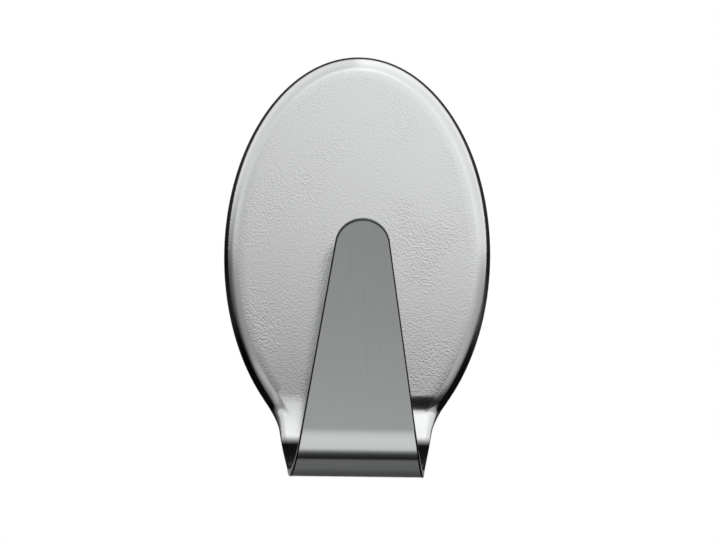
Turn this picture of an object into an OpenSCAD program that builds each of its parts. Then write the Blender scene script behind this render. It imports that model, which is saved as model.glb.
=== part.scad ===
// Self-adhesive wall hook: one stamped and bent steel sheet on a die-cut foam pad.
// Lengths are millimetres. The wall is the plane y = 0, the hook reaches towards -Y, and +Z is up.
// The sheet and the pad are drawn lying on their backs, on the wall plane, and then stood up.

/* [Oval plate] */
// Width of the oval plate
plate_w = 35; // [31:0.5:39]
// Height of the oval plate, measured as if its oval were whole
plate_h = 52.4; // [48:0.2:57]
// Thickness of the steel sheet
sheet_t = 1; // [0.8:0.1:1.2]
// Outer radius of the rim that is drawn back towards the wall
rim_r = 2; // [1.6:0.1:2.4]

/* [Neck and bend] */
// Width of the strip where it starts to bend
strip_w = 20.2; // [17:0.2:23]
// Height of the neck: the bend starts this far below the level where the oval is as wide as the strip
neck_h = 1.3; // [1:0.1:2]
// Radius of the hollow where the oval runs into the strip
neck_r = 10; // [7:0.5:14]
// Height over which the drawn rim dies out into the strip
fade_h = 3.5; // [2.5:0.1:4.5]
// Inside radius of the bend that carries the load
bend_r = 5.4; // [4.6:0.1:6.4]

/* [Tongue] */
// Length of the straight tongue, from the end of the bend to its tip
tongue_len = 29.4; // [25:0.2:34]
// Radius of the round tip
tip_r = 3.5; // [2.6:0.1:4.4]
// Angle at which the tongue leans away from the plate
lean_deg = 18; // [12:1:26]

/* [Adhesive pad] */
// Thickness of the foam core
foam_t = 1.6; // [1.2:0.1:2.4]
// Thickness of each film of adhesive
film_t = 0.1; // [0.05:0.05:0.2]
// Thickness of the release liner
liner_t = 0.1; // [0.05:0.05:0.2]
// Clearance from the lower end of the pad up to the start of the bend
pad_clear = 0.1; // [0.1:0.1:1]
// Width of the slit that parts the liner
slit_w = 0.2; // [0.1:0.05:0.5]
// How far the slit lies below the middle of the plate
slit_drop = 6; // [4:0.5:10]

/* [Hidden] */
$fn = 160;

// Overrun of a cutting shape past what it cuts
overrun = 1;

// How far inside the round tip the tongue's edges end, so that they cross its circle cleanly
tip_lap = 0.005;

// Stations of the drawn rim to each arc of the outline, and steps round its section
arc_steps = 10;
rim_steps = 6;
rim_mean_r = rim_r - sheet_t / 2;

// Heights of the layers above the wall plane
wall_film_z = liner_t;
foam_z = wall_film_z + film_t;
plate_film_z = foam_z + foam_t;
sheet_z = plate_film_z + film_t;
front_z = sheet_z + sheet_t;

// The oval is an ellipse drawn with three radii, as shares of the ellipse's own radii of curvature
end_share = 1.058;
middle_share = 1.03;
side_share = 0.955;
half_w = plate_w / 2;
half_h = plate_h / 2;
end_r = end_share * half_w * half_w / half_h;
middle_r = middle_share * sqrt(half_w * half_h);
side_r = side_share * half_h * half_h / half_w;
end_c = [0, half_h - end_r];
side_c = [half_w - side_r, 0];
middle_c = meet(side_c, side_r - middle_r, end_c, middle_r - end_r);
end_deg = heading(middle_c, end_c);
side_deg = heading(side_c, middle_c);

// The strip's corner where the bend starts, and the centre of the hollow that meets the oval there
same_width_y = -half_h * sqrt(1 - pow(strip_w / plate_w, 2));
corner = [strip_w / 2, same_width_y - neck_h];
low_c = [middle_c.x, -middle_c.y];
neck_c = meet(corner, neck_r, low_c, middle_r + neck_r);
neck_deg = heading(low_c, neck_c);
strip_deg = heading(corner, neck_c);

// Both edges of the strip are straight in the flat blank, and touch the round tip
bend_deg = 180 - lean_deg;
middle_bend_r = bend_r + sheet_t / 2;
bend_len = middle_bend_r * bend_deg * PI / 180;
tip_run = bend_len + tongue_len - tip_r;
taper = (corner.x * tip_run - sqrt(pow(corner.x * tip_run, 2)
    - (tip_run * tip_run - tip_r * tip_r) * (corner.x * corner.x - tip_r * tip_r)))
    / (tip_run * tip_run - tip_r * tip_r);

// Slices of the bend's tapered edges, those that run on past each end, and how far out they are cut
edge_slices = 20;
spare_slices = 1;
cut_r = bend_r + sheet_t + overrun;

// Pad edge, inside the outline of the plate
pad_inset = half_h + corner.y + pad_clear;

// Where two circles cross, on the right of the way from the first centre to the second
function meet(c1, r1, c2, r2) =
    let (d = norm(c2 - c1), u = (c2 - c1) / d)
    let (along = (r1 * r1 - r2 * r2 + d * d) / (2 * d))
    c1 + along * u + sqrt(r1 * r1 - along * along) * [u.y, -u.x];

function heading(from, to) = atan2(to.y - from.y, to.x - from.x);

function polar(centre, r, deg) = centre + r * [cos(deg), sin(deg)];

// Centre, radius and both end angles of each arc of the oval, counter-clockwise from the right
function oval_arcs() = [
    [side_c, side_r, -side_deg, side_deg],
    [middle_c, middle_r, side_deg, end_deg],
    [end_c, end_r, end_deg, 180 - end_deg],
    [[-middle_c.x, middle_c.y], middle_r, 180 - end_deg, 180 - side_deg],
    [-side_c, side_r, 180 - side_deg, 180 + side_deg],
    [-middle_c, middle_r, 180 + side_deg, 180 + end_deg],
    [-end_c, end_r, 180 + end_deg, 360 - end_deg],
    [low_c, middle_r, 360 - end_deg, 360 - side_deg],
];

module oval(inset) {
    polygon([for (arc = oval_arcs()) polar(arc[0], arc[1] - inset, arc[2])]);
    for (arc = oval_arcs())
        round_segment(arc[0], arc[1] - inset, arc[2], arc[3]);
}

// Part of a disc that lies outside the chord between two of its angles
module round_segment(centre, r, from, to) {
    reach = r / cos((to - from) / 2);
    intersection() {
        translate(centre) circle(r);
        polygon([
            polar(centre, r, from),
            polar(centre, reach, (from + to) / 2),
            polar(centre, r, to),
        ]);
    }
}

// Station of the rim: a point of the outline, and the direction that leads out of the plate there
function station(centre, r, deg) = [polar(centre, r, deg), [cos(deg), sin(deg)]];

function stations(centre, r, from, to) =
    [for (i = [1:arc_steps]) station(centre, r, from + (to - from) * i / arc_steps)];

// Stations from the strip's corner up the right side; the last one is at the top, on the middle line
function right_stations() = concat(
    [[corner, [1, 0]]],
    [for (s = stations(neck_c, neck_r, 180 + strip_deg, 180 + neck_deg)) [s[0], -s[1]]],
    stations(low_c, middle_r, neck_deg, -side_deg),
    stations(side_c, side_r, -side_deg, side_deg),
    stations(middle_c, middle_r, side_deg, end_deg),
    stations(end_c, end_r, end_deg, 90)
);

// How far the rim turns at a height: a quarter turn round the oval, and nothing at the strip
function rim_turn(y) = asin(min(1, (y - corner.y) / fade_h));

// Section of the sheet at a station, from the back of the plate round the rim and back to its front.
// Its length stays a quarter turn, so it runs flat where the rim turns less
function rim_section(at) =
    let (turn = rim_turn(at[0].y), crest = at[0] - rim_r * sin(turn) * at[1])
    concat(
        [for (i = [0:rim_steps]) rim_point(crest, at[1], rim_r - sheet_t, turn - 90 + 90 * i / rim_steps)],
        [for (i = [rim_steps:-1:0]) rim_point(crest, at[1], rim_r, turn - 90 + 90 * i / rim_steps)]
    );

function rim_point(crest, out, r, deg) =
    let (flat = min(0, deg) * rim_mean_r * PI / 180, bent = max(0, deg))
    let (p = crest + (flat + r * sin(bent)) * out)
    [p.x, p.y, front_z - rim_r + r * cos(bent)];

function mirrored(points) = [for (p = points) [-p.x, p.y, p.z]];

// Two triangles that fill the corners a, b, c and d
function two_triangles(a, b, c, d) = [[a, b, c], [a, c, d]];

// The plate is one closed shell: back and front faces, the rim between its stations, and the
// end of the strip, where the bend goes on
module drawn_plate() {
    right = [for (at = right_stations()) rim_section(at)];
    sections = concat(right, [for (i = [len(right) - 2:-1:0]) mirrored(right[i])]);
    n = len(right[0]);
    last = (len(sections) - 1) * n;
    rim = [for (i = [0:n:last - n], j = [0:n - 2])
        each two_triangles(i + j, i + j + 1, i + n + j + 1, i + n + j)
    ];
    back = [for (i = [0:n:last]) i];
    front = [for (i = [last:-n:0]) i + n - 1];
    strip_end = [for (j = [0:rim_steps - 1]) each concat(
        two_triangles(j, n - 1 - j, n - 2 - j, j + 1),
        two_triangles(last + j, last + j + 1, last + n - 2 - j, last + n - 1 - j)
    )];
    polyhedron(
        points = [for (section = sections) each section],
        faces = concat(rim, [back, front], strip_end, two_triangles(0, last, last + n - 1, n - 1)),
        convexity = 6
    );
}

// Axis of the bend along Z, with the sheet arriving on the X axis
module on_bend_axis() {
    translate([0, corner.y, front_z + bend_r])
        rotate([0, 90, 180])
            children();
}

// Half plane, twisted so that it closes in steadily from the start of the bend to the tongue
module bend_edge() {
    spare_deg = spare_slices * bend_deg / edge_slices;
    side_taper = taper * middle_bend_r * PI / 180;
    translate([0, 0, corner.x - side_taper * (bend_deg + spare_deg)])
        rotate([0, 0, bend_deg + spare_deg])
            linear_extrude(
                side_taper * (bend_deg + 2 * spare_deg),
                twist = bend_deg + 2 * spare_deg,
                slices = edge_slices + 2 * spare_slices,
                segments = 4
            )
                translate([-cut_r, 0]) square([2 * cut_r, cut_r]);
}

// Half a ring, less what lies past the foot of the tongue and outside the strip's edges
module bend() {
    difference() {
        rotate_extrude(angle = 180)
            translate([bend_r, -corner.x]) square([sheet_t, strip_w]);
        rotate([0, 0, bend_deg])
            translate([0, 0, -strip_w]) cube([cut_r, cut_r, 2 * strip_w]);
        for (side = [0, 1])
            mirror([0, 0, side]) bend_edge();
    }
}

module tongue() {
    rotate([0, 0, bend_deg])
        translate([bend_r, 0, 0])
            rotate([0, 90, 0]) linear_extrude(sheet_t) tongue_outline();
}

module tongue_outline() {
    edge_deg = atan(taper);
    tip_c = [0, tongue_len - tip_r];
    touch = polar(tip_c, tip_r - tip_lap, edge_deg);
    foot = corner.x - taper * bend_len;
    polygon([[-foot, 0], [foot, 0], touch, [-touch.x, touch.y]]);
    translate(tip_c) circle(tip_r);
}

// A layer of the pad, between two heights above the wall plane
module pad_layer(from_z, thickness) {
    rotate([90, 0, 0])
        translate([0, 0, from_z])
            linear_extrude(thickness) oval(pad_inset);
}

module steel_hook() {
    color("silver")
        rotate([90, 0, 0]) {
            drawn_plate();
            on_bend_axis() {
                bend();
                tongue();
            }
        }
}

module plate_adhesive() {
    color("lightyellow") pad_layer(plate_film_z, film_t);
}

module foam_core() {
    color("white") pad_layer(foam_z, foam_t);
}

module wall_adhesive() {
    color("lightyellow") pad_layer(wall_film_z, film_t);
}

// The liner, cut to a band that starts at the given height and is as high as the plate
module liner_part(from_y) {
    rotate([90, 0, 0])
        linear_extrude(liner_t)
            intersection() {
                oval(pad_inset);
                translate([-half_w, from_y]) square([plate_w, plate_h]);
            }
}

module liner_upper() {
    color("wheat") liner_part(slit_w / 2 - slit_drop);
}

module liner_lower() {
    color("wheat") liner_part(-slit_w / 2 - slit_drop - plate_h);
}

steel_hook();
plate_adhesive();
foam_core();
wall_adhesive();
liner_upper();
liner_lower();
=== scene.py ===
"""Self-adhesive wall hook: the visible pieces, their materials and a plain studio."""

import math

import bmesh
import bpy
from bpy.props import FloatProperty, FloatVectorProperty, PointerProperty
from mathutils import Matrix, Vector


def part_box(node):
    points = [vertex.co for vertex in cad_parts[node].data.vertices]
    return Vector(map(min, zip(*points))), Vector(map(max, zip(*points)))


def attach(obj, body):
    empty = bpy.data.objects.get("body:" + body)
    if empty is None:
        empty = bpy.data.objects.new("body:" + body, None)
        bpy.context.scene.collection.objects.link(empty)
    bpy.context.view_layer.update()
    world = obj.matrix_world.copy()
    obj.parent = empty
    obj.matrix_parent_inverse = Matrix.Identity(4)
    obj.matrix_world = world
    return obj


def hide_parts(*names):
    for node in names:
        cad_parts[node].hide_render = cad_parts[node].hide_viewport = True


bl_info = {
    "name": "Adhesive wall hook",
    "version": (1, 0, 0),
    "blender": (4, 5, 0),
    "location": "View3D > Sidebar > Wall hook",
    "description": "Builds a pressed steel wall hook with its foam pad, and a studio to see it in",
    "category": "Object",
}

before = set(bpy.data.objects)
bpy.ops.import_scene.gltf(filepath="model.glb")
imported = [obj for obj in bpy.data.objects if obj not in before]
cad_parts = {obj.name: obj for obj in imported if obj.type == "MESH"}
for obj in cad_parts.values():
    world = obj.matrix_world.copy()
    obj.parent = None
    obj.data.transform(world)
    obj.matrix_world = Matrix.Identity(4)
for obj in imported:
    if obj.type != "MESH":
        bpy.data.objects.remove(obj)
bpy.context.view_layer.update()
HOOK_LOW, HOOK_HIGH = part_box("steel_hook")
FOAM_LOW, FOAM_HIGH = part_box("foam_core")
FILM_LOW, FILM_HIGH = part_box("plate_adhesive")

MM = 0.001
FRONT = Vector((0, -1, 0))
IMAGE_WIDTH = 716
IMAGE_HEIGHT = 540
SENSOR_WIDTH = 36.0
CLIP_START = 10 * MM
FLOOR_SIZE = 4.0
SHEET = 1.0 * MM
# The plate's back lies on the adhesive film
HOOK_FRONT_Y = FILM_LOW.y - SHEET

# Points along the outline of the oval, and bands round its rim, down its neck, round its bend, along
# the end of the bend and round the tip
OUTLINE_STEPS = 160
RIM_STEPS = 9
NECK_STEPS = 18
BEND_STEPS = 51
LEAD_OUT_STEPS = 8
TIP_STEPS = 16
# Cuts across the neck's flat middle
FLAT_CUTS = 15
# Points along the outline of the foam, and layers through its thickness
FOAM_OUTLINE_STEPS = 320
FOAM_LAYERS = 8
# Size of the clusters of cells that show in the foam's side
CELL_SIZE = 0.5 * MM

# A point this near to a plane lies on it, and a cut counts points this near to it as on it
NEAR = 0.01 * MM
HAIR = 0.001 * MM
# Points of a cut that are nearer to each other than this are merged
MERGE = 0.03 * MM
# Points of a circle's edge pass this test, and those of a ring inside it don't
RIM_TEST = 0.999
# Share of the neck's height over which its slanting edge turns upright
UPRIGHT_SHARE = 0.6
# The draw groove's height, and where it starts and how far it runs to the right of the middle
GROOVE_HEIGHT = 4.6 * MM
GROOVE_START = 2 * MM
GROOVE_RUN = 6 * MM
# Turn of the bend at which the strip's rolled edges have opened, and the little roll that they keep
ROLL_END = math.radians(110)
LAST_ROLL = math.radians(1)
# Edges sharper than the first of these are rounded, and those blunter than the second look smooth
SHARP = math.radians(60)
SMOOTH = math.radians(40)

# Heights between which the tumbled speckle thins out upwards, those between which the drawing tool
# has ironed it out, and those between which the painted shade inside the bend starts
THINNER = (4 * MM, 16 * MM)
IRONED = (-17.5 * MM, -20.5 * MM)
BEND_SHADE_HEIGHTS = (-23.5 * MM, -24.9 * MM)


def linear(code):
    """Linear colour of an sRGB hex code."""
    channels = [int(code[i : i + 2], 16) / 255 for i in (1, 3, 5)]
    return [c / 12.92 if c <= 0.04045 else ((c + 0.055) / 1.055) ** 2.4 for c in channels] + [1]


def colour_property(name, description, code):
    """A colour that the user can change, from its sRGB hex code."""
    return FloatVectorProperty(
        name=name,
        description=description,
        default=linear(code),
        size=4,
        min=0,
        max=1,
        subtype="COLOR",
    )


class HookSizes(bpy.types.PropertyGroup):
    """Sizes of the pressed steel sheet."""

    sheet: FloatProperty(
        name="Sheet thickness",
        description="Thickness of the steel sheet",
        default=SHEET,
        unit="LENGTH",
    )
    plate_height: FloatProperty(
        name="Oval height",
        description="Height of the oval plate, as if its oval were whole",
        default=2 * HOOK_HIGH.z,
        unit="LENGTH",
    )
    rim_radius: FloatProperty(
        name="Rim radius",
        description="Outer radius of the rim that is drawn back towards the wall",
        default=2.0 * MM,
        unit="LENGTH",
    )
    neck_radius: FloatProperty(
        name="Neck radius",
        description="Radius of the hollow where the oval runs into the strip",
        default=10.0 * MM,
        unit="LENGTH",
    )
    neck_top: FloatProperty(
        name="Top of the neck",
        description="Height at which the rim starts to open towards the neck",
        default=-18.2 * MM,
        unit="LENGTH",
    )
    hollow_top: FloatProperty(
        name="Top of the hollow",
        description="Height at which the strip's hollow edge leaves the oval",
        default=-19.43 * MM,
        unit="LENGTH",
    )
    lead_in: FloatProperty(
        name="Lead-in",
        description="How far the sheet already turns forward over the neck, before the bend",
        default=math.radians(6),
        subtype="ANGLE",
    )
    draw_groove: FloatProperty(
        name="Draw groove",
        description="Depth of the shallow hollow that the draw leaves at the right of the neck",
        default=0.15 * MM,
        unit="LENGTH",
    )
    roll_radius: FloatProperty(
        name="Roll radius",
        description="Middle radius of the strip's rolled edges, where the bend starts",
        default=0.35 * MM,
        unit="LENGTH",
    )
    roll_turn: FloatProperty(
        name="Roll turn",
        description="How far the strip's edges are turned back where the bend starts",
        default=math.radians(66),
        subtype="ANGLE",
    )
    lead_out: FloatProperty(
        name="Lead-out",
        description="Angle over which the bend's end runs out gently into the tongue",
        default=math.radians(7),
        subtype="ANGLE",
    )
    lead_out_length: FloatProperty(
        name="Lead-out length",
        description="Length over which the bend's end runs out into the tongue",
        default=2.6 * MM,
        unit="LENGTH",
    )
    strip_width: FloatProperty(
        name="Strip width",
        description="Width of the strip where it starts to bend",
        default=20.4 * MM,
        unit="LENGTH",
    )
    bend_top: FloatProperty(
        name="Start of the bend",
        description="Height at which the strip starts to bend forward",
        default=-22.7 * MM,
        unit="LENGTH",
    )
    bend_radius: FloatProperty(
        name="Bend radius",
        description="Inside radius of the bend that carries the load",
        default=5.4 * MM,
        unit="LENGTH",
    )
    lean: FloatProperty(
        name="Lean",
        description="Angle at which the tongue leans away from the plate",
        default=math.radians(18),
        subtype="ANGLE",
    )
    tongue_length: FloatProperty(
        name="Tongue length",
        description="Length of the straight tongue, from the end of the bend to its tip",
        default=29.4 * MM,
        unit="LENGTH",
    )
    tip_radius: FloatProperty(
        name="Tip radius",
        description="Radius of the tongue's round tip",
        default=3.5 * MM,
        unit="LENGTH",
    )
    edge_rounding: FloatProperty(
        name="Edge rounding",
        description="Rounding that deburring leaves on the sheared edge",
        default=0.18 * MM,
        unit="LENGTH",
    )


class PadSizes(bpy.types.PropertyGroup):
    """Sizes of the foam pad."""

    waist: FloatProperty(
        name="Waist",
        description="How far the die-cut side of the foam is drawn in at half its thickness",
        default=0.12 * MM,
        unit="LENGTH",
    )
    cell_depth: FloatProperty(
        name="Cell depth",
        description="Depth of the cut cells in the side of the foam",
        default=0.10 * MM,
        unit="LENGTH",
    )


class FinishColours(bpy.types.PropertyGroup):
    """Colours of the materials, each with the shade that its pattern mixes in."""

    steel: colour_property("Tumbled steel", "Colour of the tumbled face of the sheet", "#CDCECE")
    steel_shade: colour_property("Its shade", "Darker patches of the tumbled face", "#BEBFBF")
    rolled: colour_property("Rolled steel", "Colour of the other face of the sheet", "#C5C8C7")
    rolled_shade: colour_property("Its shade", "Lines that the rolls leave in that face", "#C0C3C2")
    # Painted shade: the sheared edge and the rounding that shares its material are painted much darker
    # than steel, for the dark reflections along the edges
    sheared: colour_property("Sheared edge", "Colour of the burnished band of the edge", "#444749")
    sheared_shade: colour_property("Its shade", "Torn band of the edge", "#2E3032")
    # Painted shade: near black, painted low inside the bend for its shade and dark reflections
    bend_shade: colour_property("Painted bend shade", "Near-black colour painted low inside the bend as its shade", "#0D0D0E")
    foam: colour_property("Foam", "Colour of the foam's cell walls", "#F1F1EE")
    foam_shade: colour_property("Its shade", "Insides of the foam's cells", "#DCDDDA")
    adhesive: colour_property("Adhesive", "Colour of the adhesive where it is thin", "#EAE5D2")
    adhesive_shade: colour_property("Its shade", "Adhesive where it is thick", "#DDD6BC")
    liner: colour_property("Liner", "Colour of the liner's paper", "#E9DFC6")
    liner_shade: colour_property("Its shade", "Clouds of fibres in the paper", "#D9CBA6")
    floor: colour_property("Floor", "Colour of the studio's floor", "#EDEDEB")


class StudioSettings(bpy.types.PropertyGroup):
    """Camera, floor and lamps."""

    azimuth: FloatProperty(
        name="Camera azimuth",
        description="Turn of the camera round the hook, from straight ahead",
        default=-0.0305,
        subtype="ANGLE",
    )
    elevation: FloatProperty(
        name="Camera elevation",
        description="Height of the camera above the plate's middle, as an angle",
        default=-0.06,
        subtype="ANGLE",
    )
    roll: FloatProperty(
        name="Camera roll",
        description="Turn of the picture about the line of sight",
        default=-0.0118,
        subtype="ANGLE",
    )
    distance: FloatProperty(
        name="Camera distance",
        description="Distance from the camera to the front of the plate",
        default=600 * MM,
        unit="LENGTH",
    )
    pixels_per_mm: FloatProperty(
        name="Picture scale",
        description="Pixels of the picture to one millimetre at the plate",
        default=7.643,
    )
    middle: FloatVectorProperty(
        name="Plate in the picture",
        description="Where the plate's middle lies in the picture, in pixels from its top left",
        default=(357.7, 255.2),
        size=2,
    )
    floor_drop: FloatProperty(
        name="Floor",
        description="Height of the floor below the middle of the plate",
        default=70 * MM,
        unit="LENGTH",
    )


def add_node(tree, kind, inputs=None, links=None, **settings):
    """Adds a node, sets its inputs and settings, and links its inputs to other nodes' outputs."""
    node = tree.nodes.new(kind)
    for name, value in settings.items():
        setattr(node, name, value)
    for name, value in (inputs or {}).items():
        node.inputs[name].default_value = value
    for name, (source, output) in (links or {}).items():
        tree.links.new(source.outputs[output], node.inputs[name])
    return node


def set_ramp(node, stops):
    """Gives a colour ramp its stops, each a position and a grey level."""
    ramp = node.color_ramp
    ramp.interpolation = "EASE"
    while len(ramp.elements) > 1:
        ramp.elements.remove(ramp.elements[-1])
    ramp.elements[0].position = stops[0][0]
    ramp.elements[0].color = [stops[0][1]] * 3 + [1]
    for position, level in stops[1:]:
        ramp.elements.new(position).color = [level] * 3 + [1]


def new_material(name):
    """An empty material with its output and a surface shader."""
    material = bpy.data.materials.new(name)
    material.use_nodes = True
    tree = material.node_tree
    tree.nodes.clear()
    shader = add_node(tree, "ShaderNodeBsdfPrincipled")
    add_node(tree, "ShaderNodeOutputMaterial", links={"Surface": (shader, "BSDF")})
    return material, tree, shader


def per_mm(size):
    """Texture scale, in repeats to the metre, for a pattern of the given size in millimetres."""
    return 1 / (size * MM)


def tumbled_steel(colours):
    """Cold-rolled stainless steel, tumbled to a satin: a fine speckle that breaks up reflections."""
    material, tree, shader = new_material("tumbled_stainless_steel")
    place = add_node(tree, "ShaderNodeTexCoord")
    speckle = add_node(
        tree,
        "ShaderNodeTexNoise",
        inputs={"Scale": per_mm(0.26), "Detail": 2, "Roughness": 0.5},
        links={"Vector": (place, "Object")},
    )
    cloud = add_node(
        tree,
        "ShaderNodeTexNoise",
        inputs={"Scale": per_mm(7), "Detail": 3},
        links={"Vector": (place, "Object")},
    )
    colour = add_node(
        tree,
        "ShaderNodeMix",
        data_type="RGBA",
        inputs={6: colours.steel_shade, 7: colours.steel},
        links={0: (cloud, "Fac")},
    )
    roughness = add_node(
        tree,
        "ShaderNodeMapRange",
        inputs={"From Min": 0.3, "From Max": 0.7, "To Min": 0.1, "To Max": 0.14},
        links={"Value": (cloud, "Fac")},
    )
    # Tumbling leaves the speckle deep in some patches and nearly flat in others
    patches = add_node(
        tree,
        "ShaderNodeMapRange",
        interpolation_type="SMOOTHSTEP",
        inputs={"From Min": 0.42, "From Max": 0.68, "To Min": 0.35, "To Max": 0.85},
        links={"Value": (cloud, "Fac")},
    )
    # It gets thinner towards the top of the oval, and the drawing tool irons it out over the neck
    axes = add_node(tree, "ShaderNodeSeparateXYZ", links={"Vector": (place, "Object")})
    ironed = add_node(
        tree,
        "ShaderNodeMapRange",
        interpolation_type="SMOOTHSTEP",
        inputs={"From Min": IRONED[0], "From Max": IRONED[1], "To Min": 1, "To Max": 0.12},
        links={"Value": (axes, "Z")},
    )
    thinner = add_node(
        tree,
        "ShaderNodeMapRange",
        interpolation_type="SMOOTHSTEP",
        inputs={"From Min": THINNER[0], "From Max": THINNER[1], "To Min": 1, "To Max": 0.75},
        links={"Value": (axes, "Z")},
    )
    fading = add_node(
        tree,
        "ShaderNodeMath",
        operation="MULTIPLY",
        links={0: (ironed, "Result"), 1: (thinner, "Result")},
    )
    depth = add_node(
        tree,
        "ShaderNodeMath",
        operation="MULTIPLY",
        links={0: (patches, "Result"), 1: (fading, "Value")},
    )
    bump = add_node(
        tree,
        "ShaderNodeBump",
        inputs={"Distance": 0.012 * MM},
        links={"Strength": (depth, "Value"), "Height": (speckle, "Fac")},
    )
    # Painted shade: low inside the bend the steel is painted near black, standing in for the shade and
    # dark reflections there
    bend_shade = add_node(
        tree,
        "ShaderNodeMapRange",
        interpolation_type="SMOOTHSTEP",
        inputs={"From Min": BEND_SHADE_HEIGHTS[0], "From Max": BEND_SHADE_HEIGHTS[1]},
        links={"Value": (axes, "Z")},
    )
    with_bend_shade = add_node(
        tree,
        "ShaderNodeMix",
        data_type="RGBA",
        inputs={7: colours.bend_shade},
        links={0: (bend_shade, "Result"), 6: (colour, 2)},
    )
    shader.inputs["Metallic"].default_value = 1
    tree.links.new(with_bend_shade.outputs[2], shader.inputs["Base Color"])
    tree.links.new(roughness.outputs["Result"], shader.inputs["Roughness"])
    tree.links.new(bump.outputs["Normal"], shader.inputs["Normal"])
    return material


def rolled_steel(colours):
    """The sheet's other side, as it left the rolls: smoother, with faint lines along the strip."""
    material, tree, shader = new_material("rolled_stainless_steel")
    place = add_node(tree, "ShaderNodeTexCoord")
    stretch = add_node(
        tree,
        "ShaderNodeMapping",
        inputs={"Scale": (1, 0.08, 0.08)},
        links={"Vector": (place, "Object")},
    )
    lines = add_node(
        tree,
        "ShaderNodeTexNoise",
        inputs={"Scale": per_mm(0.35), "Detail": 2},
        links={"Vector": (stretch, "Vector")},
    )
    colour = add_node(
        tree,
        "ShaderNodeMix",
        data_type="RGBA",
        inputs={6: colours.rolled_shade, 7: colours.rolled},
        links={0: (lines, "Fac")},
    )
    roughness = add_node(
        tree,
        "ShaderNodeMapRange",
        inputs={"To Min": 0.11, "To Max": 0.16},
        links={"Value": (lines, "Fac")},
    )
    bump = add_node(
        tree,
        "ShaderNodeBump",
        inputs={"Strength": 0.1, "Distance": 0.01 * MM},
        links={"Height": (lines, "Fac")},
    )
    shader.inputs["Metallic"].default_value = 1
    tree.links.new(colour.outputs[2], shader.inputs["Base Color"])
    tree.links.new(roughness.outputs["Result"], shader.inputs["Roughness"])
    tree.links.new(bump.outputs["Normal"], shader.inputs["Normal"])
    return material


def sheared_steel(colours):
    """The edge left by the blanking die: a burnished band and a duller torn one, both painted dark as
    painted shade.
    """
    material, tree, shader = new_material("sheared_steel_edge")
    place = add_node(tree, "ShaderNodeTexCoord")
    tear = add_node(
        tree,
        "ShaderNodeTexNoise",
        inputs={"Scale": per_mm(0.25), "Detail": 4},
        links={"Vector": (place, "Object")},
    )
    colour = add_node(
        tree,
        "ShaderNodeMix",
        data_type="RGBA",
        inputs={6: colours.sheared_shade, 7: colours.sheared},
        links={0: (tear, "Fac")},
    )
    bump = add_node(
        tree,
        "ShaderNodeBump",
        inputs={"Strength": 0.35, "Distance": 0.02 * MM},
        links={"Height": (tear, "Fac")},
    )
    shader.inputs["Metallic"].default_value = 1
    shader.inputs["Roughness"].default_value = 0.3
    tree.links.new(colour.outputs[2], shader.inputs["Base Color"])
    tree.links.new(bump.outputs["Normal"], shader.inputs["Normal"])
    return material


def polyethylene_foam(colours):
    """Closed-cell polyethylene foam: white and matt, with cut cells along its sides."""
    material, tree, shader = new_material("polyethylene_foam")
    place = add_node(tree, "ShaderNodeTexCoord")
    cells = add_node(
        tree,
        "ShaderNodeTexVoronoi",
        feature="DISTANCE_TO_EDGE",
        inputs={"Scale": per_mm(0.35)},
        links={"Vector": (place, "Object")},
    )
    walls = add_node(
        tree,
        "ShaderNodeMapRange",
        inputs={"From Max": 0.25, "To Min": 1, "To Max": 0},
        links={"Value": (cells, "Distance")},
    )
    colour = add_node(
        tree,
        "ShaderNodeMix",
        data_type="RGBA",
        inputs={6: colours.foam_shade, 7: colours.foam},
        links={0: (walls, "Result")},
    )
    bump = add_node(
        tree,
        "ShaderNodeBump",
        inputs={"Strength": 0.6, "Distance": 0.08 * MM},
        links={"Height": (walls, "Result")},
    )
    shader.inputs["Roughness"].default_value = 0.85
    shader.inputs["IOR"].default_value = 1.5
    tree.links.new(colour.outputs[2], shader.inputs["Base Color"])
    tree.links.new(bump.outputs["Normal"], shader.inputs["Normal"])
    return material


def acrylic_adhesive(colours):
    """Coated acrylic adhesive: a thin tacky film, slightly yellow, wet-looking and uneven."""
    material, tree, shader = new_material("acrylic_adhesive")
    place = add_node(tree, "ShaderNodeTexCoord")
    coat = add_node(
        tree,
        "ShaderNodeTexNoise",
        inputs={"Scale": per_mm(1.5), "Detail": 3},
        links={"Vector": (place, "Object")},
    )
    colour = add_node(
        tree,
        "ShaderNodeMix",
        data_type="RGBA",
        inputs={6: colours.adhesive_shade, 7: colours.adhesive},
        links={0: (coat, "Fac")},
    )
    bump = add_node(
        tree,
        "ShaderNodeBump",
        inputs={"Strength": 0.4, "Distance": 0.03 * MM},
        links={"Height": (coat, "Fac")},
    )
    shader.inputs["Roughness"].default_value = 0.18
    shader.inputs["IOR"].default_value = 1.47
    tree.links.new(colour.outputs[2], shader.inputs["Base Color"])
    tree.links.new(bump.outputs["Normal"], shader.inputs["Normal"])
    return material


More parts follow.
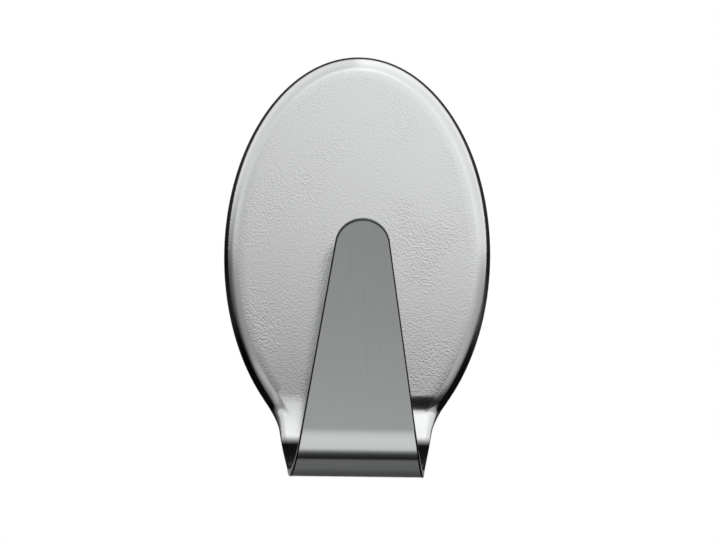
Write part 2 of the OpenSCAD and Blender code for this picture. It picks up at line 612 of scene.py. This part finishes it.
def glassine_paper(colours):
    """Siliconised glassine, the release liner: smooth paper, waxy, with a cloudy make-up of fibres."""
    material, tree, shader = new_material("siliconised_glassine")
    place = add_node(tree, "ShaderNodeTexCoord")
    flocs = add_node(
        tree,
        "ShaderNodeTexNoise",
        inputs={"Scale": per_mm(2.2), "Detail": 5, "Roughness": 0.65},
        links={"Vector": (place, "Object")},
    )
    stretch = add_node(
        tree,
        "ShaderNodeMapping",
        inputs={"Scale": (1, 1, 0.2), "Rotation": (0, math.radians(12), 0)},
        links={"Vector": (place, "Object")},
    )
    fibres = add_node(
        tree,
        "ShaderNodeTexNoise",
        inputs={"Scale": per_mm(0.3), "Detail": 3},
        links={"Vector": (stretch, "Vector")},
    )
    mottle = add_node(
        tree,
        "ShaderNodeMath",
        operation="MULTIPLY_ADD",
        inputs={1: 0.5},
        links={0: (fibres, "Fac"), 2: (flocs, "Fac")},
    )
    colour = add_node(
        tree,
        "ShaderNodeMix",
        data_type="RGBA",
        inputs={6: colours.liner_shade, 7: colours.liner},
        links={0: (mottle, "Value")},
    )
    bump = add_node(
        tree,
        "ShaderNodeBump",
        inputs={"Strength": 0.15, "Distance": 0.02 * MM},
        links={"Height": (mottle, "Value")},
    )
    shader.inputs["Roughness"].default_value = 0.42
    shader.inputs["IOR"].default_value = 1.5
    tree.links.new(colour.outputs[2], shader.inputs["Base Color"])
    tree.links.new(bump.outputs["Normal"], shader.inputs["Normal"])
    return material


def deselect_all():
    """Nothing stays selected, so that an operator acts only on what comes next."""
    if bpy.context.object and bpy.context.object.mode != "OBJECT":
        bpy.ops.object.mode_set(mode="OBJECT")
    bpy.ops.object.select_all(action="DESELECT")


def finish_shape():
    """Leaves the active piece at the origin, with smooth faces and sharp edges."""
    bpy.ops.object.mode_set(mode="OBJECT")
    bpy.ops.object.transform_apply(location=True, rotation=True, scale=True)
    bpy.ops.object.shade_smooth_by_angle(angle=SMOOTH)


def select_edges(piece, wanted):
    """In edit mode, selects only the edges whose two ends pass the test."""
    bpy.ops.mesh.select_mode(type="EDGE")
    bpy.ops.mesh.select_all(action="DESELECT")
    mesh = bmesh.from_edit_mesh(piece.data)
    for edge in mesh.edges:
        edge.select_set(all(wanted(vertex.co) for vertex in edge.verts))
    mesh.select_flush_mode()
    bmesh.update_edit_mesh(piece.data)


def apply_modifier(piece, kind, **settings):
    """Adds a modifier and applies it."""
    modifier = piece.modifiers.new(kind.title(), kind)
    for name, value in settings.items():
        setattr(modifier, name, value)
    bpy.ops.object.modifier_apply(modifier=modifier.name)


def resize(x=1, z=1):
    """Scales what is selected about the origin, across and upwards."""
    bpy.ops.transform.resize(value=(x, 1, z), center_override=(0, 0, 0))


def extrude_edges(move=(0, 0, 0)):
    """Draws the selected edges out into a band of faces."""
    bpy.ops.mesh.extrude_edges_move(TRANSFORM_OT_translate={"value": move})


def draw_plate(sizes, middle_y):
    """The middle surface of the oval plate, with its rim drawn back."""
    half_height = sizes.plate_height / 2
    crest = HOOK_HIGH.x - sizes.rim_radius
    crest_high = half_height - sizes.rim_radius
    rim = sizes.rim_radius - sizes.sheet / 2
    deselect_all()
    bpy.ops.mesh.primitive_circle_add(
        vertices=OUTLINE_STEPS,
        radius=crest,
        fill_type="NGON",
        location=(0, middle_y, 0),
        rotation=(math.radians(90), 0, 0),
    )
    plate = bpy.context.object
    plate.name = "pressed_steel_hook"
    bpy.ops.object.transform_apply(location=True, rotation=True, scale=True)
    bpy.ops.object.mode_set(mode="EDIT")
    bpy.ops.mesh.select_all(action="SELECT")
    resize(z=crest_high / crest)
    bpy.ops.mesh.inset(thickness=sizes.sheet)
    select_edges(plate, lambda p: (p.x / crest) ** 2 + (p.z / crest_high) ** 2 > RIM_TEST)
    wide, high, back = crest, crest_high, 0
    for step in range(1, RIM_STEPS + 1):
        turn = math.radians(90) * step / RIM_STEPS
        out = rim * math.sin(turn)
        deep = rim * (1 - math.cos(turn))
        extrude_edges((0, deep - back, 0))
        resize(x=(crest + out) / wide, z=(crest_high + out) / high)
        wide, high, back = crest + out, crest_high + out, deep
    return plate


def form_neck(plate, sizes, middle_y):
    """Cuts the plate off at the neck, and draws the neck down while its rim tightens and opens."""
    corner = sizes.strip_width / 2
    top = sizes.neck_top
    half_height = sizes.plate_height / 2
    radius = sizes.bend_radius + sizes.sheet / 2
    low = sizes.bend_top - radius * math.sin(sizes.lead_in)
    cut_below(top)
    # Points across the flat middle, so that the groove can end near the middle line
    select_edges(plate, lambda p: p.z < top + NEAR and p.y < middle_y + HAIR)
    bpy.ops.mesh.subdivide(number_cuts=FLAT_CUTS)
    select_edges(plate, lambda p: p.z < top + NEAR)
    bpy.ops.mesh.remove_doubles(threshold=MERGE)
    select_edges(plate, lambda p: p.z < top + NEAR)
    mesh = bmesh.from_edit_mesh(plate.data)
    row = [(v.co.x, v.co.y - middle_y) for v in selected_row(mesh)]
    columns = section_columns(row, sizes.rim_radius - sizes.sheet / 2)
    # The hollow starts where the strip leaves the oval, and ends at the strip's corner
    leave = oval_reach(sizes.hollow_top, half_height)
    hollow = arc_centre(leave, sizes.hollow_top, corner, sizes.bend_top, sizes.neck_radius)
    turn_radius = (top - low) / math.tan(sizes.lead_in)
    height = top
    for step in range(1, NECK_STEPS + 1):
        share = step / NECK_STEPS
        level = top + (low - top) * share
        if level > sizes.hollow_top:
            outer = oval_reach(level, half_height)
        elif level < sizes.bend_top:
            outer = corner - strip_taper(sizes) * (sizes.bend_top - level)
        else:
            outer = hollow.x - math.sqrt(sizes.neck_radius**2 - (level - hollow.y) ** 2)
        rim = sizes.rim_radius - sizes.sheet / 2
        rim += (sizes.roll_radius - rim) * smooth(share)
        turn = math.radians(90) + (sizes.roll_turn - math.radians(90)) * smooth(share)
        # The cut across the oval's slanting rim runs over into the upright sections
        upright = smooth(share / UPRIGHT_SHARE)
        slanting = row[-1][0] + outer - oval_reach(top, half_height)
        reach = upright * (outer - sizes.sheet / 2 * math.sin(turn)) + (1 - upright) * slanting
        ahead = (top - level) ** 2 / (2 * turn_radius)
        dent = math.sin(math.pi * min(1, (top - level) / GROOVE_HEIGHT)) ** 2
        extrude_edges((0, 0, level - height))
        height = level
        mesh = bmesh.from_edit_mesh(plate.data)
        for vertex, (x, deep), column in zip(selected_row(mesh), row, columns):
            place, back = rolled_point(column, reach, rim, turn)
            inward = row[-1][0] - abs(x)
            place = upright * place + (1 - upright) * (reach - inward)
            back = upright * back + (1 - upright) * deep
            to_right = smooth((math.copysign(place, x) - GROOVE_START) / GROOVE_RUN)
            groove = sizes.draw_groove * dent * to_right
            vertex.co.x = math.copysign(place, x)
            vertex.co.y = middle_y + back + groove - ahead
        bmesh.update_edit_mesh(plate.data)
    return columns


def oval_reach(level, half_height):
    """Half width of the oval at a height."""
    return HOOK_HIGH.x * math.sqrt(1 - (level / half_height) ** 2)


def cut_below(top):
    """Cuts off everything below a height."""
    bpy.ops.mesh.select_all(action="SELECT")
    bpy.ops.mesh.bisect(
        plane_co=(0, 0, top),
        plane_no=(0, 0, 1),
        clear_inner=True,
        threshold=HAIR,
    )


def smooth(share):
    """Eases a share that is kept between 0 and 1."""
    share = min(1, max(0, share))
    return share * share * (3 - 2 * share)


def section_columns(row, rim):
    """For each point of a row, how far along the sheet it lies from the edge, and its share inward."""
    crest = max(x for x, deep in row if deep < HAIR)
    columns = []
    for x, deep in row:
        if deep < HAIR:
            columns.append((rim * math.pi / 2, abs(x) / crest))
        else:
            columns.append((rim * math.asin(max(-1, 1 - deep / rim)), 1))
    return columns


def rolled_point(column, reach, rim, turn):
    """Distance from the middle line, and depth, of a point of a sheet with a rolled edge."""
    along, inner_share = column
    rolled = rim * turn
    if along < rolled:
        left = turn - along / rim
        return reach - rim * (math.sin(turn) - math.sin(left)), rim * (1 - math.cos(left))
    return inner_share * (reach - rim * math.sin(turn) - (along - rolled)), 0


def selected_row(mesh):
    """The selected points of a mesh in edit mode, from left to right."""
    return sorted((v for v in mesh.verts if v.select), key=lambda v: v.co.x)


def arc_centre(x1, z1, x2, z2, radius):
    """Centre, to the right, of the arc of a radius through two points."""
    middle = Vector(((x1 + x2) / 2, (z1 + z2) / 2))
    chord = Vector((x2 - x1, z2 - z1))
    away = math.sqrt(radius**2 - (chord.length / 2) ** 2)
    return middle + Vector((-chord.y, chord.x)).normalized() * away


def form_bend(plate, sizes, columns):
    """Rolls the strip up and forward, tightly and then more gently, while both its edges close in."""
    radius = sizes.bend_radius + sizes.sheet / 2
    tight = math.pi - sizes.lean - sizes.lead_in - sizes.lead_out
    turns = [(tight / BEND_STEPS, radius)] * BEND_STEPS
    gentle = sizes.lead_out_length / sizes.lead_out
    turns += [(sizes.lead_out / LEAD_OUT_STEPS, gentle)] * LEAD_OUT_STEPS
    corner = sizes.strip_width / 2
    taper = strip_taper(sizes)
    heading = sizes.lead_in
    done = radius * math.sin(sizes.lead_in)
    for turn, turn_radius in turns:
        mesh = bmesh.from_edit_mesh(plate.data)
        row = selected_row(mesh)
        place = row[len(row) // 2].co
        towards = Vector((0, -math.cos(heading), math.sin(heading)))
        axis = place + towards * turn_radius
        done += turn * turn_radius
        heading += turn
        reach = corner - taper * done
        extrude_edges()
        bpy.ops.transform.rotate(value=turn, orient_axis="X", center_override=axis)
        # The rolled edges open until they are flat
        mesh = bmesh.from_edit_mesh(plate.data)
        row = selected_row(mesh)
        middle = row[len(row) // 2].co.copy()
        middle.x = 0
        away = Vector((0, math.cos(heading), -math.sin(heading)))
        open_share = smooth(heading / ROLL_END)
        roll = sizes.roll_turn * (1 - open_share) + LAST_ROLL
        reach -= sizes.sheet / 2 * math.sin(roll)
        for vertex, column in zip(row, columns):
            side, back = rolled_point(column, reach, sizes.roll_radius, roll)
            vertex.co = middle + away * back + Vector((math.copysign(side, vertex.co.x), 0, 0))
        bmesh.update_edit_mesh(plate.data)
    return reach


def form_tongue(plate, sizes, wide):
    """Draws out the flat, tapered tongue and its round tip, and clears the lines across it."""
    along = Vector((0, -math.sin(sizes.lean), math.cos(sizes.lean)))
    edge_turn = math.atan(strip_taper(sizes))
    radius = sizes.bend_radius + sizes.sheet / 2
    mesh = bmesh.from_edit_mesh(plate.data)
    row = selected_row(mesh)
    foot = row[len(row) // 2].co.copy()
    bend_end = sizes.bend_top - radius * math.sin(sizes.lean)
    length = sizes.tongue_length - (foot.z - bend_end) / math.cos(sizes.lean)
    rise = length - sizes.tip_radius
    done = 0
    for step in range(TIP_STEPS):
        turn = edge_turn + (math.radians(90) - edge_turn) * step / TIP_STEPS
        reach = sizes.tip_radius * math.cos(turn)
        level = rise + sizes.tip_radius * math.sin(turn)
        extrude_edges(along * (level - done))
        resize(x=reach / wide)
        wide, done = reach, level
    extrude_edges(along * (length - done))
    bpy.ops.mesh.merge(type="CENTER")
    bpy.ops.mesh.select_mode(type="FACE")
    bpy.ops.mesh.select_all(action="DESELECT")
    mesh = bmesh.from_edit_mesh(plate.data)
    for face in mesh.faces:
        face.select_set(all(v.co.y < foot.y + NEAR for v in face.verts))
    bmesh.update_edit_mesh(plate.data)
    bpy.ops.mesh.dissolve_faces()


def strip_taper(sizes):
    """Slope of the strip's edges, straight in the flat blank, from its corners to the round tip."""
    radius = sizes.bend_radius + sizes.sheet / 2
    corner = sizes.strip_width / 2
    tip = sizes.tip_radius
    run = radius * (math.pi - sizes.lean) + sizes.tongue_length - tip
    square = run * run - tip * tip
    inside = (corner * run) ** 2 - square * (corner * corner - tip * tip)
    return (corner * run - math.sqrt(inside)) / square


class HOOK_OT_steel(bpy.types.Operator):
    """Build the pressed steel sheet"""

    bl_idname = "wall_hook.steel"
    bl_label = "Steel hook"
    bl_options = {"REGISTER", "UNDO"}

    def execute(self, context):
        sizes = context.scene.hook_sizes
        colours = context.scene.finish_colours
        if sizes.strip_width / 2 >= oval_reach(sizes.hollow_top, sizes.plate_height / 2):
            raise ValueError("The strip is wider than the oval where it leaves it")
        middle_y = FILM_LOW.y - sizes.sheet / 2
        piece = draw_plate(sizes, middle_y)
        columns = form_neck(piece, sizes, middle_y)
        wide = form_bend(piece, sizes, columns)
        form_tongue(piece, sizes, wide)
        bpy.ops.mesh.select_all(action="SELECT")
        bpy.ops.mesh.normals_make_consistent(inside=False)
        bpy.ops.object.mode_set(mode="OBJECT")
        widest = max(piece.data.polygons, key=lambda face: face.area)
        if widest.normal.dot(FRONT) < 0:
            bpy.ops.object.mode_set(mode="EDIT")
            bpy.ops.mesh.select_all(action="SELECT")
            bpy.ops.mesh.flip_normals()
            bpy.ops.object.mode_set(mode="OBJECT")
        piece.data.materials.append(tumbled_steel(colours))
        piece.data.materials.append(rolled_steel(colours))
        piece.data.materials.append(sheared_steel(colours))
        # The sheet gets its thickness: its other side is rolled steel, and its edge is sheared
        apply_modifier(
            piece,
            "SOLIDIFY",
            thickness=sizes.sheet,
            offset=0,
            use_even_offset=True,
            material_offset=1,
            material_offset_rim=2,
        )
        apply_modifier(
            piece,
            "BEVEL",
            width=sizes.edge_rounding,
            segments=3,
            use_clamp_overlap=False,
            # The rounding takes the sheared edge's dark colour: painted shade that keeps it from
            # catching the light
            material=2,
            limit_method="ANGLE",
            angle_limit=SHARP,
        )
        finish_shape()
        # The wide flat faces set the shading of their neighbours, so that they mirror as flat ones
        apply_modifier(piece, "WEIGHTED_NORMAL", keep_sharp=True)
        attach(piece, "root")
        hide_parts("steel_hook")
        return {"FINISHED"}


class HOOK_OT_foam(bpy.types.Operator):
    """Build the die-cut foam core of the pad"""

    bl_idname = "wall_hook.foam"
    bl_label = "Foam core"
    bl_options = {"REGISTER", "UNDO"}

    def execute(self, context):
        sizes = context.scene.pad_sizes
        half_width = FOAM_HIGH.x
        half_height = FOAM_HIGH.z
        thickness = FOAM_HIGH.y - FOAM_LOW.y
        deselect_all()
        bpy.ops.mesh.primitive_circle_add(
            vertices=FOAM_OUTLINE_STEPS,
            radius=half_width,
            fill_type="NGON",
            location=(0, FOAM_LOW.y, 0),
            rotation=(math.radians(90), 0, 0),
        )
        foam = bpy.context.object
        foam.name = "die_cut_foam"
        bpy.ops.object.transform_apply(location=True, rotation=True, scale=True)
        bpy.ops.object.mode_set(mode="EDIT")
        bpy.ops.mesh.select_all(action="SELECT")
        resize(z=half_height / half_width)
        bpy.ops.mesh.inset(thickness=sizes.waist)
        bpy.ops.mesh.select_all(action="SELECT")
        wide = half_width
        for layer in range(1, FOAM_LAYERS + 1):
            bpy.ops.mesh.extrude_region_move(
                TRANSFORM_OT_translate={"value": (0, thickness / FOAM_LAYERS, 0)}
            )
            drawn_in = sizes.waist * math.sin(math.pi * layer / FOAM_LAYERS)
            share = (half_width - drawn_in) / wide
            resize(x=share, z=share)
            wide *= share
        bpy.ops.mesh.select_all(action="SELECT")
        bpy.ops.mesh.normals_make_consistent(inside=False)
        finish_shape()
        cut_cells(foam, sizes.cell_depth)
        foam.data.materials.append(polyethylene_foam(context.scene.finish_colours))
        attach(foam, "root")
        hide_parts("foam_core")
        return {"FINISHED"}


def cut_cells(foam, depth):
    """Presses small hollows into the side of the foam, where the die has cut its cells open."""
    side = foam.vertex_groups.new(name="side")
    inner = [
        v.index
        for v in foam.data.vertices
        if FOAM_LOW.y + NEAR < v.co.y < FOAM_HIGH.y - NEAR
    ]
    side.add(inner, 1, "REPLACE")
    cells = bpy.data.textures.new("foam_cells", "CLOUDS")
    cells.noise_scale = CELL_SIZE
    apply_modifier(
        foam,
        "DISPLACE",
        texture=cells,
        strength=depth,
        mid_level=1,
        vertex_group="side",
        texture_coords="LOCAL",
    )


class HOOK_OT_tapes(bpy.types.Operator):
    """Give the adhesive films and the release liner their materials"""

    bl_idname = "wall_hook.tapes"
    bl_label = "Adhesive and liner"
    bl_options = {"REGISTER", "UNDO"}

    def execute(self, context):
        colours = context.scene.finish_colours
        adhesive = acrylic_adhesive(colours)
        paper = glassine_paper(colours)
        finishes = {
            "plate_adhesive": adhesive,
            "wall_adhesive": adhesive,
            "liner_upper": paper,
            "liner_lower": paper,
        }
        for name, material in finishes.items():
            for node in node_objects(name):
                node.data.materials.clear()
                node.data.materials.append(material)
        return {"FINISHED"}


def node_objects(name):
    """The CAD objects of a node."""
    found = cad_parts[name]
    return found if isinstance(found, (list, tuple)) else [found]


def camera_matrix(settings):
    """Where the camera stands and how it is turned, from the picture's scale and angles."""
    azimuth, elevation, roll = settings.azimuth, settings.elevation, settings.roll
    right = Vector((math.cos(azimuth), math.sin(azimuth), 0))
    level = Vector((-math.sin(azimuth), math.cos(azimuth), 0))
    up = level * math.sin(elevation) + Vector((0, 0, math.cos(elevation)))
    ahead = level * math.cos(elevation) - Vector((0, 0, math.sin(elevation)))
    turned_right = right * math.cos(roll) - up * math.sin(roll)
    turned_up = right * math.sin(roll) + up * math.cos(roll)
    # The aim is moved so that the middle of the plate lands at its place in the picture
    across = (IMAGE_WIDTH / 2 - settings.middle[0]) / settings.pixels_per_mm * MM
    above = (settings.middle[1] - IMAGE_HEIGHT / 2) / settings.pixels_per_mm * MM
    plate_front = Vector((0, HOOK_FRONT_Y, 0))
    place = plate_front - ahead * settings.distance
    aim = plate_front + turned_right * across + turned_up * above
    ahead = (aim - place).normalized()
    turned_up = (turned_up - ahead * turned_up.dot(ahead)).normalized()
    turned_right = ahead.cross(turned_up)
    turn = Matrix((turned_right, turned_up, -ahead)).transposed()
    return Matrix.Translation(place) @ turn.to_4x4()


def make_camera(settings):
    """The camera at the photograph's angle."""
    place = camera_matrix(settings)
    bpy.ops.object.camera_add(location=place.to_translation(), rotation=place.to_euler())
    camera = bpy.context.object
    camera.name = "picture_camera"
    camera.data.sensor_width = SENSOR_WIDTH
    camera.data.clip_start = CLIP_START
    pixels = settings.pixels_per_mm * settings.distance / MM
    camera.data.lens = pixels / IMAGE_WIDTH * SENSOR_WIDTH
    bpy.context.scene.camera = camera


def make_floor(settings, colours):
    """A plain pale floor, well below the hook."""
    deselect_all()
    bpy.ops.mesh.primitive_plane_add(size=FLOOR_SIZE, location=(0, 0, -settings.floor_drop))
    floor = bpy.context.object
    floor.name = "studio_floor"
    bpy.ops.object.transform_apply(location=True, rotation=True, scale=True)
    material, tree, shader = new_material("pale_painted_floor")
    shader.inputs["Base Color"].default_value = colours.floor
    shader.inputs["Roughness"].default_value = 0.9
    floor.data.materials.append(material)
    # The steel mirrors the studio's dome, which holds the floor's light and shade already
    floor.visible_glossy = False


# Light of the studio's dome by pitch, in degrees from straight ahead of the hook: 90 is overhead,
# -90 is straight below and 180 is behind it
DOME = [
    (-180, 0.07),
    (-137, 0.24),
    (-105, 0.47),
    (-84, 0.5),
    (-78, 0.03),
    (-67, 0.13),
    (-58, 0.66),
    (-30, 0.95),
    (-5, 1.1),
    (5, 1.4),
    (40, 1.42),
    (80, 1.65),
    (106, 1.65),
    (124, 0.06),
    (180, 0.03),
]
# Strip lights below and above the camera, by pitch
STRIP = [(-60, 0), (-51, 0.72), (-41, 0.72), (-32, 0), (7, 0), (13, 0.3), (26, 0.3), (34, 0)]
# Light level that is written as 1 in a ramp
RAMP_TOP = 2
# Direction of the black camera's reflection
CAMERA_SHADE = (0.03, -0.993, -0.115)

# How the studio's light changes from side to side. X, Y and Z are the parts of a direction, and side
# is how far it points to either side. Each row names a value, what is done to get it, to which value
# and with what. A FADE goes smoothly from its third number to its fourth while the value that it
# reads goes from its first to its second
STUDIO_STEPS = [
    ("side", "ABSOLUTE", "X", None),
    ("strip_ends", "FADE", "side", (0.08, 0.22, 1, 0)),
    # The wall at the left is dim, except high up, and the one at the right is a little dim
    ("left_wall", "FADE", "X", (-1, -0.6, 0.3, 1)),
    ("high_up", "FADE", "Z", (0, 0.35, 0.3, 1)),
    ("left_wall", "MAXIMUM", "left_wall", "high_up"),
    ("right_wall", "FADE", "X", (0.15, 0.9, 1, 0.85)),
    # Below the horizon the studio is darker, but less so at the sides and low at the left
    ("left_slope", "MULTIPLY", "X", 0.42),
    ("left_slope", "SUBTRACT", "Z", "left_slope"),
    ("low_left", "FADE", "left_slope", (0.012, 0.036, 1, 0)),
    ("left", "FADE", "X", (-0.02, 0.015, 1, 0)),
    ("low_left", "MULTIPLY", "low_left", "left"),
    ("aside", "FADE", "side", (0.12, 0.35, 0, 1)),
    ("aside", "MAXIMUM", "aside", "low_left"),
    ("near_horizon", "FADE", "Z", (-0.42, -0.2, 0, 1)),
    ("side_horizon", "MULTIPLY", "aside", "near_horizon"),
    ("side_horizon", "FADE", "side_horizon", (0, 1, 0.43, 0.65)),
    ("horizon", "FADE", "Z", (0, 0.09, 0.43, 1)),
    ("horizon", "MAXIMUM", "horizon", "side_horizon"),
    # A grey card dims the light from the left over to the middle, most of all near the horizon
    ("card", "FADE", "X", (-0.06, 0.1, 0.44, 0)),
    ("card_foot", "FADE", "left_slope", (0.012, 0.036, 0, 1)),
    ("card_head", "FADE", "Z", (0.04, 0.16, 1, 0.65)),
    ("card", "MULTIPLY", "card", "card_foot"),
    ("card", "MULTIPLY", "card", "card_head"),
    ("past_card", "FADE", "card", (0, 0.5, 1, 0.58)),
    # A black flag stands low at each side, and one more leans in from the right, below the horizon
    ("beside", "FADE", "side", (0.3, 0.6, 0, 1)),
    ("backward", "FADE", "Y", (-0.7, -0.1, 0, 1)),
    ("below", "FADE", "Z", (-0.32, -0.05, 1, 0)),
    ("flags", "MULTIPLY", "beside", "backward"),
    ("flags", "MULTIPLY", "flags", "below"),
    ("right", "FADE", "X", (0.07, 0.15, 0, 1)),
    ("right_slope", "MULTIPLY", "X", 0.6),
    ("right_slope", "ADD", "right_slope", "Z"),
    ("leaning_flag", "FADE", "right_slope", (-0.01, 0.06, 1, 0)),
    ("leaning_flag", "MULTIPLY", "right", "leaning_flag"),
    ("flags", "MAXIMUM", "flags", "leaning_flag"),
    ("past_flags", "FADE", "flags", (0, 1, 1, 0.05)),
    # The black camera stands in front, a little below the hook
    ("past_camera", "FADE", "from_camera", (0.09, 0.165, 0.01, 1)),
    # All of these dim the dome, and the strip lights shine in front of them
    ("dome", "MULTIPLY", "dome", "left_wall"),
    ("dome", "MULTIPLY", "dome", "right_wall"),
    ("dome", "MULTIPLY", "dome", "horizon"),
    ("dome", "MULTIPLY", "dome", "past_card"),
    ("dome", "MULTIPLY", "dome", "past_flags"),
    ("dome", "MULTIPLY", "dome", "past_camera"),
    ("strips", "MULTIPLY", "strips", "strip_ends"),
    ("light", "ADD", "dome", "strips"),
    ("light", "MULTIPLY", "light", RAMP_TOP),
    # The camera sees the white backdrop everywhere, steel and clear parts where it stands behind
    ("behind", "FADE", "Y", (0.93, 0.97, 0, 1)),
    ("mirrored", "MAXIMUM", "Is Glossy Ray", "Is Transmission Ray"),
    ("mirrored", "MULTIPLY", "mirrored", "behind"),
    ("backdrop", "MAXIMUM", "Is Camera Ray", "mirrored"),
]


def studio_sources(tree):
    """The values that the studio's light is worked out from, each a node and its output."""
    place = add_node(tree, "ShaderNodeTexCoord")
    axes = add_node(tree, "ShaderNodeSeparateXYZ", links={"Vector": (place, "Generated")})
    path = add_node(tree, "ShaderNodeLightPath")
    from_camera = add_node(
        tree,
        "ShaderNodeVectorMath",
        operation="DISTANCE",
        inputs={1: CAMERA_SHADE},
        links={0: (place, "Generated")},
    )
    front = add_node(
        tree, "ShaderNodeMath", operation="MULTIPLY", inputs={1: -1}, links={0: (axes, "Y")}
    )
    pitch = add_node(
        tree,
        "ShaderNodeMath",
        operation="ARCTAN2",
        links={0: (axes, "Z"), 1: (front, "Value")},
    )
    turn = add_node(
        tree,
        "ShaderNodeMapRange",
        inputs={"From Min": -math.pi, "From Max": math.pi},
        links={"Value": (pitch, "Value")},
    )
    values = {axis: (axes, axis) for axis in ("X", "Y", "Z")}
    for ray in ("Is Camera Ray", "Is Glossy Ray", "Is Transmission Ray"):
        values[ray] = (path, ray)
    values["from_camera"] = (from_camera, "Value")
    for name, stops in (("dome", DOME), ("strips", STRIP)):
        ramp = add_node(tree, "ShaderNodeValToRGB", links={"Fac": (turn, "Result")})
        set_ramp(ramp, [((degrees + 180) / 360, light / RAMP_TOP) for degrees, light in stops])
        values[name] = (ramp, "Color")
    return values


def make_dome():
    """A dome of plain studio light, which the camera sees as a white backdrop."""
    world = bpy.context.scene.world or bpy.data.worlds.new("studio_dome")
    bpy.context.scene.world = world
    world.use_nodes = True
    tree = world.node_tree
    tree.nodes.clear()
    values = studio_sources(tree)
    for name, step, first, second in STUDIO_STEPS:
        if step == "FADE":
            low, high, start, end = second
            node = add_node(
                tree,
                "ShaderNodeMapRange",
                interpolation_type="SMOOTHSTEP",
                inputs={"From Min": low, "From Max": high, "To Min": start, "To Max": end},
                links={"Value": values[first]},
            )
            values[name] = (node, "Result")
            continue
        links = {0: values[first]}
        inputs = {}
        if second in values:
            links[1] = values[second]
        elif second is not None:
            inputs[1] = second
        node = add_node(tree, "ShaderNodeMath", operation=step, inputs=inputs, links=links)
        values[name] = (node, "Value")
    white = (1, 1, 1, 1)
    studio = add_node(
        tree, "ShaderNodeBackground", inputs={"Color": white}, links={"Strength": values["light"]}
    )
    plain = add_node(tree, "ShaderNodeBackground", inputs={"Color": white, "Strength": 1})
    seen = add_node(
        tree,
        "ShaderNodeMixShader",
        links={0: values["backdrop"], 1: (studio, "Background"), 2: (plain, "Background")},
    )
    add_node(tree, "ShaderNodeOutputWorld", links={"Surface": (seen, "Shader")})


class HOOK_OT_studio(bpy.types.Operator):
    """Build the camera, floor and light"""

    bl_idname = "wall_hook.studio"
    bl_label = "Studio"
    bl_options = {"REGISTER", "UNDO"}

    def execute(self, context):
        settings = context.scene.studio_settings
        deselect_all()
        make_camera(settings)
        make_floor(settings, context.scene.finish_colours)
        make_dome()
        context.scene.view_settings.view_transform = "Standard"
        return {"FINISHED"}


class HOOK_PT_panel(bpy.types.Panel):
    """Wall hook"""

    bl_idname = "HOOK_PT_panel"
    bl_label = "Wall hook"
    bl_space_type = "VIEW_3D"
    bl_region_type = "UI"
    bl_category = "Wall hook"

    def draw(self, context):
        column = self.layout.column()
        for operator in OPERATORS:
            column.operator(operator.bl_idname)
        for group in GROUPS:
            settings = getattr(context.scene, group)
            for name in GROUPS[group].__annotations__:
                column.prop(settings, name)


OPERATORS = (HOOK_OT_steel, HOOK_OT_foam, HOOK_OT_tapes, HOOK_OT_studio)
GROUPS = {
    "hook_sizes": HookSizes,
    "pad_sizes": PadSizes,
    "finish_colours": FinishColours,
    "studio_settings": StudioSettings,
}
CLASSES = (*GROUPS.values(), *OPERATORS, HOOK_PT_panel)


def register():
    for cls in CLASSES:
        bpy.utils.register_class(cls)
    for name, group in GROUPS.items():
        setattr(bpy.types.Scene, name, PointerProperty(type=group))


def unregister():
    for name in GROUPS:
        delattr(bpy.types.Scene, name)
    for cls in reversed(CLASSES):
        bpy.utils.unregister_class(cls)


def main():
    register()
    bpy.ops.wall_hook.steel()
    bpy.ops.wall_hook.foam()
    bpy.ops.wall_hook.tapes()
    bpy.ops.wall_hook.studio()


if __name__ == "__main__":
    main()
